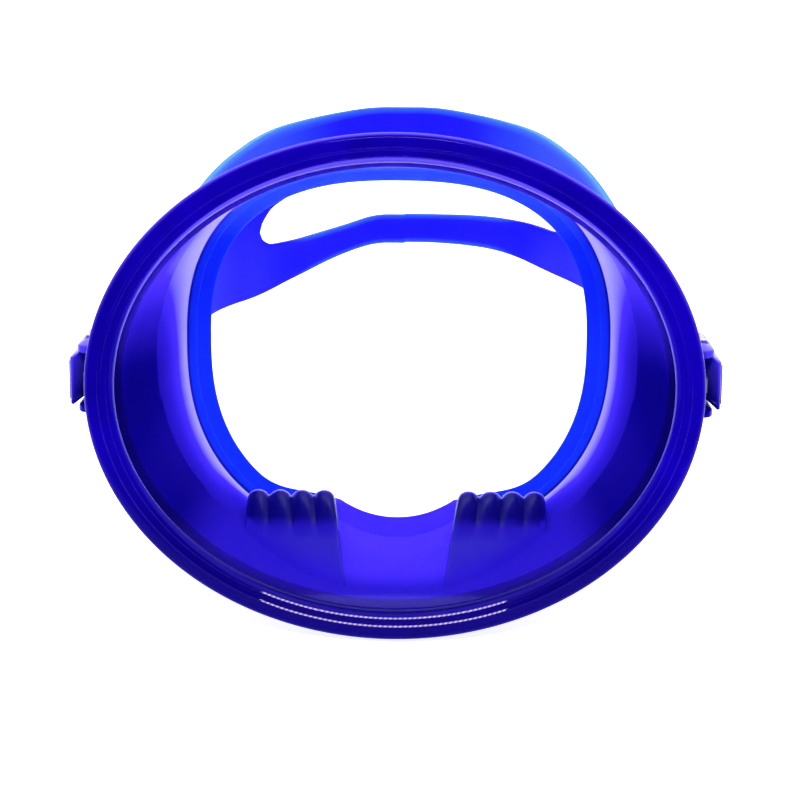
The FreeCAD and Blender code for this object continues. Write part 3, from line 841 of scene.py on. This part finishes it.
def seal_root(x, z):
    """Depth of the root of the face seal at this place round the skirt."""
    half, top, bottom, power, y_side, y_top, y_bottom = SKIRT_RUNS[ROOT_RUN][0]
    share = min((abs(x) / half) ** power, 1.0)
    lift = math.copysign(min(2 * abs(z) / (top + bottom), 1.0) ** (power / 2), z)
    middle = (y_top + y_bottom) / 2 + lift * (y_top - y_bottom) / 2
    return middle + (y_side - middle) * share


def seal_share(x, y, z):
    """1 on the lips of the face seal, 0 on the wall."""
    channel = (1 - soft_step(19, 24, abs(x))) * soft_step(-30, -40, z)
    return soft_step(0.1, 0.9, y - seal_root(x, z)) * (1 - channel)


def on_well(x, y, z):
    """True on the raised block of a finger well, which rises above the inner wall."""
    inner = 12.7 + 5.5 * (y - 10.5) / 42
    if z > -20 or not inner < abs(x) < 44 or not 10 < y < 53.4:
        return False
    along = soft_step(15, 52, y)
    half, low, power = 73.8 - 9.5 * along, 59.8 - 3.8 * along, 2 + 0.4 * along
    return (abs(x) / half) ** power + (abs(z) / low) ** power < 0.93


def skirt_shine(x, y, z, normal):
    """Surface shine: satin on the inner wall, polished on the wells and the outside."""
    outside = y > 10 and normal.x * x + normal.z * z > 0
    return 0.4 if outside else 0.15 if on_well(x, y, z) else 0.0


def painted_skirt_light(x, y, z, normal):
    """Painted light on the silicone: little beside the frame, most at the seal's root."""
    light = painted_inner_light(x, y, z)
    # Less painted light on the outside of the wall
    outside = normal.x * x + normal.z * z > 0 and not on_well(x, y, z)
    return min(light, 0.25 + 0.2 * light) if outside else light


def painted_inner_light(x, y, z):
    """Painted light along the inside of the wall, and painted highlights and shade over the wells."""
    if on_well(x, y, z):
        # On a well: painted highlight along the rib crests and at the ramp's foot, and painted shade over
        # the ribs
        crest = soft_step(46.2, 47.1, y) * (1 - soft_step(48.0, 48.8, y))
        foot = 1 - soft_step(10.6, 11.8, y)
        ramp_light = 0.5 - 0.08 * soft_step(15, 33, y) - 0.34 * soft_step(34, 39, y)
        return min(1.0, ramp_light + 0.84 * (crest + 0.45 * foot))
    root = seal_root(x, z)
    along = min(max((y - 7) / (root - 7), 0.0), 1.0)
    crease = 0.585 + 0.07 * (1 - min(abs(x) / 63, 1.0))
    # On the lips: painted light, more towards the top
    if y > root + 0.1 and (abs(x) > 22 or z > 0):
        return soft_step(20, 50, z)
    # Painted shade beside the frame, painted light past the crease
    light = 0.07 + 0.05 * soft_step(0.1, crease, along)
    if along > crease:
        past = (along - crease) / (1 - crease)
        light = 0.3 + 0.7 * past**1.4
    # Painted light over the eyes and a little under the temples
    up = soft_step(-4, 30, z)
    light += up * (0.62 + 0.22 * along) * (1 - light)
    light += 0.10 * soft_step(-5, -26, z) * (1 - soft_step(-26, -60, z)) * (1 - light)
    # Even painted light low on the wall, more in the channel for the nose
    down = soft_step(-35, -47, z)
    channel = 1 - soft_step(15, 30, abs(x))
    low_light = 0.46 + 0.26 * channel * soft_step(0.15, 0.5, along)
    return light + down * (low_light - light) * (1 - soft_step(0.85, 1.0, along) * (1 - channel))


class MASK_OT_skirt(bpy.types.Operator):
    """Silicone skirt: wall, double face seal and two finger wells."""

    bl_idname = "mask.skirt"
    bl_label = "Silicone skirt"

    def execute(self, context):
        skirt = skirt_body()
        wall = context.scene.mask_skirt.wall / MM
        block = well_solid(0.0, 0.0)
        cut_or_join(block, skirt_core(), "INTERSECT")
        block = joined("wells", [mirror_copy(block, "well_left"), block])
        cut_or_join(skirt, block, "UNION")
        pocket = well_solid(wall, wall)
        pocket = joined("pockets", [mirror_copy(pocket, "pocket_left"), pocket])
        cut_or_join(skirt, pocket, "DIFFERENCE")
        paint(skirt, "painted_light", painted_skirt_light, facing=True)
        paint(skirt, "seal", seal_share)
        paint(skirt, "shine", skirt_shine, facing=True)
        settle(skirt, "mask_frame", shared(skirt_material), 35)
        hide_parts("skirt")
        return {"FINISHED"}


def skirt_core():
    """Closed solid that fills the skirt to the middle of its wall, to trim the wells with."""
    rows = (
        (0.5, 0.5, 0.5, 2, 9, 9, 9),
        (74.7, 60.7, 60.7, 2, 9, 9, 9),
        (74.6, 60.6, 60.6, 2, 18, 18, 18),
        (70.4, 58.9, 58.5, 2.2, 42, 38, 37),
        (64.2, 56.9, 56.1, 2.4, 68.6, 56, 53),
        (0.5, 0.5, 0.5, 2, 60, 60, 58),
    )
    dense = [rows[0]] + smooth_rows(rows[1:-1], 4) + [rows[-1]]

    def point(i, j):
        return seal_point(dense[j], angle_at(i, CORE_TURNS))

    return close_ends(shaped_grid("core", CORE_TURNS, len(dense) - 1, point))


def strap_path():
    """Stations from the tail's end to the back: distance out, distance behind the pivot, 1 in the band."""
    sizes = bpy.context.scene.mask_strap
    out, back, radius = sizes.roller_out / MM, sizes.roller_back / MM, sizes.turn / MM
    points = [(u, y, 0) for u, y in smooth_rows(STRAP_TAIL, 6)[:-1]]
    steps = 16
    for k in range(steps + 1):
        angle = math.pi * k / steps
        points.append((out + radius * math.cos(angle), back - radius * math.sin(angle), 0))
    for u, y in smooth_rows(STRAP_PLAN, 24)[1:]:
        if u >= -1e-6:
            points.append((max(u, 0.0), y, 1))
    return points


class MASK_OT_strap(bpy.types.Operator):
    """Split silicone strap: tails, turns round the rollers, and two bands at the back."""

    bl_idname = "mask.strap"
    bl_label = "Strap"

    def execute(self, context):
        sizes = context.scene.mask_strap
        points = strap_path()
        stations = []
        for side in (-1, 1):
            rows = []
            entry = None
            run = 0.0
            for (u, y, band), before in zip(points, [points[0]] + points):
                run += math.hypot(u - before[0], y - before[1])
                if band and entry is None and y >= SLOT_START[side]:
                    entry = run
                top = read_table(STRAP_TOP, y) if band else STRAP_END_HALF
                low = read_table(STRAP_LOW[side], y) if band else -STRAP_END_HALF
                opening = 0.0
                if entry is not None:
                    past = min((run - entry) / (sizes.slot_round / MM), 1.0)
                    opening = math.sqrt(max(1 - (1 - past) ** 2, 0.0))
                if band and y > 60:
                    slot_low, slot_high = read_table(SLOT_LOW[side], y), read_table(SLOT_HIGH[side], y)
                else:
                    slot_low = slot_high = (top + low) / 2
                middle = (slot_low + slot_high) / 2
                share = soft_step(60, 100, y) if band else 0.0
                middle = middle * share + (top + low) / 2 * (1 - share)
                half = (slot_high - slot_low) / 2 * opening
                rows.append((side * u, PIVOT_BACK + y, low, middle - half, middle + half, top))
            stations.append(rows)
        rows = stations[0] + stations[1][-2::-1]

        def point(i, j):
            x, y, low, slot_low, slot_high, top = rows[i]
            if j <= BAND_STEPS:
                return x, y, low + (slot_low - low) * j / BAND_STEPS
            return x, y, slot_high + (top - slot_high) * (j - BAND_STEPS - 1) / BAND_STEPS

        strap = shaped_grid("head_strap", len(rows) - 1, 2 * BAND_STEPS + 1, point)
        open_slot(strap, rows)
        paint(strap, "painted_rim_light", painted_strap_light(rows))
        apply_modifier(strap, "SOLIDIFY", thickness=sizes.thickness / MM, offset=0.0)
        round_edges(strap, sizes.edge / MM, degrees=50)
        settle(strap, "strap_assembly", shared(strap_material), 40)
        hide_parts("strap")
        return {"FINISHED"}


def open_slot(strap, rows):
    """Deletes the faces that bridge the slot between the two bands."""
    gaps = [row for row in rows if row[4] - row[3] > 1e-3]
    for polygon in strap.data.polygons:
        middle = polygon.center
        nearest = min(gaps, key=lambda row: (row[0] - middle.x) ** 2 + (row[1] - middle.y) ** 2)
        close = math.hypot(nearest[0] - middle.x, nearest[1] - middle.y) < 2.5
        spans = [strap.data.vertices[v].co.z for v in polygon.vertices]
        short = max(min(spans) - nearest[3], nearest[4] - max(spans), 0)
        bridges = short < 0.35 * (nearest[4] - nearest[3])
        polygon.select = close and bridges and nearest[3] < middle.z < nearest[4]
    for part in (*strap.data.edges, *strap.data.vertices):
        part.select = False
    bpy.ops.object.mode_set(mode="EDIT")
    bpy.ops.mesh.select_mode(type="FACE")
    bpy.ops.mesh.delete(type="FACE")
    bpy.ops.mesh.select_mode(type="VERT")
    bpy.ops.object.mode_set(mode="OBJECT")


def painted_strap_light(rows):
    """Painted light and shade in the band: light along its edges and its upper half, painted shade low at
    the temples.
    """

    def value(x, y, z):
        row = min(rows, key=lambda r: (r[0] - x) ** 2 + (r[1] - y) ** 2)
        edges = [row[2], row[5]] + ([row[3], row[4]] if row[4] - row[3] > 1 else [])
        painted_rim_light = max(0.0, 1 - min(abs(z - edge) for edge in edges) / 2.5)
        height = (z - row[2]) / (row[5] - row[2])
        shade_share = soft_step(30, 50, abs(x)) * (1 - soft_step(0.5, 0.75, height))
        upper = soft_step(0.5, 0.85, height) * (0.12 + 0.18 * soft_step(15, 45, abs(x)))
        return (0.25 + upper + 0.5 * painted_rim_light) * (1 - shade_share)

    return value


class MASK_OT_teeth(bpy.types.Operator):
    """Ladder of rounded bars on the outside of each free tail."""

    bl_idname = "mask.teeth"
    bl_label = "Strap teeth"

    def execute(self, context):
        sizes = context.scene.mask_strap
        rows = smooth_rows(STRAP_TAIL, 12)
        bars, travelled = [], 0.0
        bpy.ops.object.select_all(action="DESELECT")
        bpy.ops.mesh.primitive_cylinder_add(
            vertices=20, radius=TOOTH_RADIUS, depth=TOOTH_LENGTH, location=(0, 0, 0)
        )
        first = bpy.context.active_object
        round_edges(first, 0.3)
        for (u, y), (next_u, next_y) in zip(rows, rows[1:]):
            travelled += math.hypot(next_u - u, next_y - y)
            if travelled < sizes.tooth_pitch / MM or y < TEETH_START or TEETH_GAP[0] < y < TEETH_GAP[1]:
                continue
            travelled = 0.0
            out = Vector((y - next_y, next_u - u, 0)).normalized() * (sizes.thickness / MM / 2)
            bar = first.copy()
            bar.data = first.data.copy()
            context.scene.collection.objects.link(bar)
            bar.data.transform(Matrix.Translation((u + abs(out.x), PIVOT_BACK + y + out.y, 0)))
            bars.append(bar)
        bpy.data.objects.remove(first)
        right = joined("right_strap_ladder", bars)
        # An even painted light over the bars
        paint(right, "painted_rim_light", lambda x, y, z: 0.6)
        left = mirror_copy(right, "left_strap_ladder")
        for piece in (right, left):
            settle(piece, "strap_assembly", shared(strap_material), 40)
        return {"FINISHED"}


class MASK_OT_keepers(bpy.types.Operator):
    """Soft loops that hold the free tails of the strap."""

    bl_idname = "mask.keepers"
    bl_label = "Strap keepers"

    def execute(self, context):
        sizes = context.scene.mask_strap
        start = PIVOT_BACK + sizes.keeper_back / MM
        long, wall = sizes.keeper_length / MM, sizes.keeper_wall / MM
        low, high = KEEPER_HOLE[0] - wall / 2, KEEPER_HOLE[1] + wall / 2
        middle, reach, half = (low + high) / 2, (high - low) / 2, KEEPER_HALF + wall / 2
        turns, ring = 96, 12

        def point(i, j):
            angle = angle_at(i, turns)
            c, s = math.cos(angle), math.sin(angle)
            radius = ((abs(c) / reach) ** 5 + (abs(s) / half) ** 5) ** -0.2
            bend = angle_at(j, ring)
            flat = math.copysign(abs(math.cos(bend)) ** 0.5, math.cos(bend))
            thick = math.copysign(abs(math.sin(bend)) ** 0.6, math.sin(bend))
            grow = radius + wall / 2 * thick
            return middle + grow * c, start + long / 2 + long / 2 * flat, grow * s

        right = shaped_grid("right_keeper_loop", turns, ring, point)
        # An even painted light over the loops
        paint(right, "painted_rim_light", lambda x, y, z: 0.6)
        left = mirror_copy(right, "left_keeper_loop")
        for side, piece in (("right", right), ("left", left)):
            settle(piece, "strap_assembly", shared(strap_material), 60)
            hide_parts(side + "_strap_keeper")
        return {"FINISHED"}


def extruded(name, outline, low, high, bevel, upright=True):
    """A plate from its outline, extruded from low to high and rounded at its edges.

    The outline is (out, depth) pairs for an upright plate, which is as tall as
    low to high, or (depth, height) pairs for one that faces sideways.
    """
    bpy.ops.object.select_all(action="DESELECT")
    bpy.ops.mesh.primitive_circle_add(vertices=len(outline), radius=1.0, fill_type="NGON")
    plate = bpy.context.active_object
    plate.name = plate.data.name = name
    for vertex, (a, b) in zip(plate.data.vertices, outline):
        vertex.co = (a, b, low) if upright else (low, a, b)
    way = (0, 0, high - low) if upright else (high - low, 0, 0)
    edit_mesh(
        plate,
        (bpy.ops.mesh.extrude_region_move, {"TRANSFORM_OT_translate": {"value": way}}),
        (bpy.ops.mesh.select_all, {"action": "SELECT"}),
        (bpy.ops.mesh.normals_make_consistent, {"inside": False}),
    )
    round_edges(plate, bevel)
    return plate


def painted_buckle_light(x, y, z):
    """Painted light on the buckle's outer parts, less towards its lower edge."""
    return 0.75 * soft_step(-7, 7, z) * soft_step(80, 86, abs(x))


class MASK_OT_buckles(bpy.types.Operator):
    """Swivelling buckles: base plate with its disc, and two rounded cheeks."""

    bl_idname = "mask.buckles"
    bl_label = "Strap buckles"

    def execute(self, context):
        base, steps = [], 24
        for k in range(steps + 1):
            angle = math.radians(68 + 224 * k / steps)
            base.append((PIVOT_BACK + DISC_RADIUS * math.cos(angle), DISC_RADIUS * math.sin(angle)))
        base += [(BASE_BACK, -BASE_HALF), (BASE_BACK, BASE_HALF)]
        parts = [extruded("base", base, *BASE_SIDES, 0.3, upright=False)]
        for low in (-BASE_HALF - CHEEK_WALL, BASE_HALF):
            parts.append(extruded("cheek", CHEEK, low, low + CHEEK_WALL, 0.55))
        right = joined("right_buckle_shell", parts)
        paint(right, "painted_light", painted_buckle_light)
        left = mirror_copy(right, "left_buckle_shell")
        for side, piece in (("right", right), ("left", left)):
            settle(piece, "strap_assembly", shared(plastic_material), 40)
            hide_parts(side + "_buckle_body")
        return {"FINISHED"}


class MASK_OT_levers(bpy.types.Operator):
    """Release levers: a finger plate with grip ribs, and the pawl behind its pin."""

    bl_idname = "mask.levers"
    bl_label = "Release levers"

    def execute(self, context):
        parts = [extruded("plate", LEVER, -LEVER_HALF, LEVER_HALF, 0.35)]
        out, start = GRIP_START
        for k in range(GRIP_RIBS):
            place = (out, start + GRIP_PITCH * k, 0)
            bpy.ops.mesh.primitive_cylinder_add(
                vertices=24, radius=GRIP_RADIUS, depth=GRIP_LENGTH, location=place
            )
            rib = bpy.context.active_object
            bpy.ops.object.transform_apply(location=True, rotation=True, scale=True)
            round_edges(rib, 0.2, segments=2)
            parts.append(rib)
        right = joined("right_lever_plate", parts)
        paint(right, "painted_light", painted_buckle_light)
        left = mirror_copy(right, "left_lever_plate")
        for side, piece in (("right", right), ("left", left)):
            settle(piece, side + "_lever", shared(plastic_material), 40)
            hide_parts(side + "_release_lever")
        return {"FINISHED"}


class MASK_OT_fittings(bpy.types.Operator):
    """Finishes for the pieces that keep their CAD shape; the replaced ones aren't shown."""

    bl_idname = "mask.fittings"
    bl_label = "Pins, rollers and springs"

    def execute(self, context):
        for name, node in frame["nodes"].items():
            steel = any(word in name for word in ("axle", "lever_pin", "spring"))
            node.data.materials.clear()
            node.data.materials.append(shared(steel_material if steel else plastic_material))
        return {"FINISHED"}


# ---- stage ---------------------------------------------------------------


def area_light(name, place, target, size, power):
    """A soft rectangular light aimed at target; places in metres."""
    data = bpy.data.lights.new(name, "AREA")
    data.shape = "RECTANGLE"
    data.size, data.size_y = size
    data.energy = power
    light = bpy.data.objects.new(name, data)
    bpy.context.scene.collection.objects.link(light)
    light.location = place
    light.rotation_mode = "QUATERNION"
    light.rotation_quaternion = (Vector(target) - Vector(place)).to_track_quat("-Z", "Y")


class MASK_OT_stage(bpy.types.Operator):
    """Pale floor, soft studio light and the camera."""

    bl_idname = "mask.stage"
    bl_label = "Stage"

    def execute(self, context):
        scene = context.scene
        stage = scene.mask_stage
        bpy.ops.object.select_all(action="DESELECT")
        bpy.ops.mesh.primitive_plane_add(size=6.0, location=(0, 2.55, 0))
        floor = context.active_object
        floor.name = floor.data.name = "floor"
        sockets = {
            "Base Color": (0.9, 0.9, 0.9, 1.0),
            "Roughness": 0.9,
            "Emission Color": (1.0, 1.0, 1.0, 1.0),
            "Emission Strength": 0.85,
        }
        floor.data.materials.append(finish(new_material("Pale floor"), sockets))

        world = bpy.data.worlds.new("Studio")
        scene.world = world
        world.use_nodes = True
        tree = world.node_tree
        tree.nodes.clear()
        out = add_node(tree, "ShaderNodeOutputWorld")
        direction = add_node(tree, "ShaderNodeTexCoord").outputs["Generated"]
        split = add_node(tree, "ShaderNodeSeparateXYZ", sockets={"Vector": direction})
        reach = {"From Min": -0.3, "From Max": 0.6, "To Min": 0.12, "To Max": 1.5}
        back = add_node(tree, "ShaderNodeMapRange", sockets={"Value": split.outputs["Y"], **reach})
        sky = add_node(tree, "ShaderNodeBackground", sockets={"Strength": back.outputs["Result"]})
        tree.links.new(sky.outputs["Background"], out.inputs["Surface"])

        target = mask_place() @ Vector((0, 0, 0))
        area_light("top softbox", (0.0, 0.25, 0.9), (0, 0, 0.06), (0.9, 0.7), 9.0)
        area_light("front softbox", (0.0, -0.62, 0.62), target, (0.26, 0.05), 3.2)
        area_light("left softbox", (-0.8, -0.2, 0.45), target, (0.3, 0.5), 0.7)
        area_light("right softbox", (0.8, -0.2, 0.45), target, (0.3, 0.5), 0.5)

        camera = bpy.data.objects.new("camera", bpy.data.cameras.new("camera"))
        scene.collection.objects.link(camera)
        scene.camera = camera
        rise = stage.rise + mask_turn()
        level = math.cos(rise)
        away = Vector((math.sin(stage.turn) * level, -math.cos(stage.turn) * level, math.sin(rise)))
        camera.location = target + away * stage.distance
        camera.rotation_mode = "QUATERNION"
        camera.rotation_quaternion = (-away).to_track_quat("-Z", "Y")
        camera.data.lens = stage.focal
        camera.data.sensor_width = 36.0
        camera.data.shift_x = stage.shift_x
        camera.data.shift_y = stage.shift_y
        scene.view_settings.view_transform = "Standard"
        return {"FINISHED"}


class MASK_PT_panel(bpy.types.Panel):
    """Sizes, colours and the pieces to build."""

    bl_idname = "MASK_PT_panel"
    bl_label = "Diving mask"
    bl_space_type = "VIEW_3D"
    bl_region_type = "UI"
    bl_category = "Diving mask"

    def draw(self, context):
        layout = self.layout
        for attribute, group in GROUPS:
            box = layout.box()
            box.label(text=group.__doc__)
            settings = getattr(context.scene, attribute)
            for name in group.__annotations__:
                box.prop(settings, name)
        for operator in OPERATORS:
            layout.operator(operator.bl_idname)


GROUPS = (
    ("mask_frame", MaskFrameSizes),
    ("mask_skirt", MaskSkirtSizes),
    ("mask_strap", MaskStrapSizes),
    ("mask_colours", MaskColours),
    ("mask_stage", MaskStage),
)
OPERATORS = (
    MASK_OT_bezel,
    MASK_OT_lens,
    MASK_OT_skirt,
    MASK_OT_strap,
    MASK_OT_teeth,
    MASK_OT_keepers,
    MASK_OT_buckles,
    MASK_OT_levers,
    MASK_OT_fittings,
    MASK_OT_stage,
)


def register():
    """Registers the settings, the operators and the panel."""
    for attribute, group in GROUPS:
        bpy.utils.register_class(group)
        setattr(bpy.types.Scene, attribute, bpy.props.PointerProperty(type=group))
    for cls in OPERATORS + (MASK_PT_panel,):
        bpy.utils.register_class(cls)


def unregister():
    """Takes everything back out."""
    for cls in (MASK_PT_panel,) + OPERATORS[::-1]:
        bpy.utils.unregister_class(cls)
    for attribute, group in GROUPS[::-1]:
        delattr(bpy.types.Scene, attribute)
        bpy.utils.unregister_class(group)


def main():
    """Builds every piece and the stage."""
    register()
    bpy.ops.object.select_all(action="DESELECT")
    bpy.ops.mask.bezel()
    bpy.ops.mask.lens()
    bpy.ops.mask.skirt()
    bpy.ops.mask.strap()
    bpy.ops.mask.teeth()
    bpy.ops.mask.keepers()
    bpy.ops.mask.buckles()
    bpy.ops.mask.levers()
    bpy.ops.mask.fittings()
    bpy.ops.mask.stage()


if __name__ == "__main__":
    main()
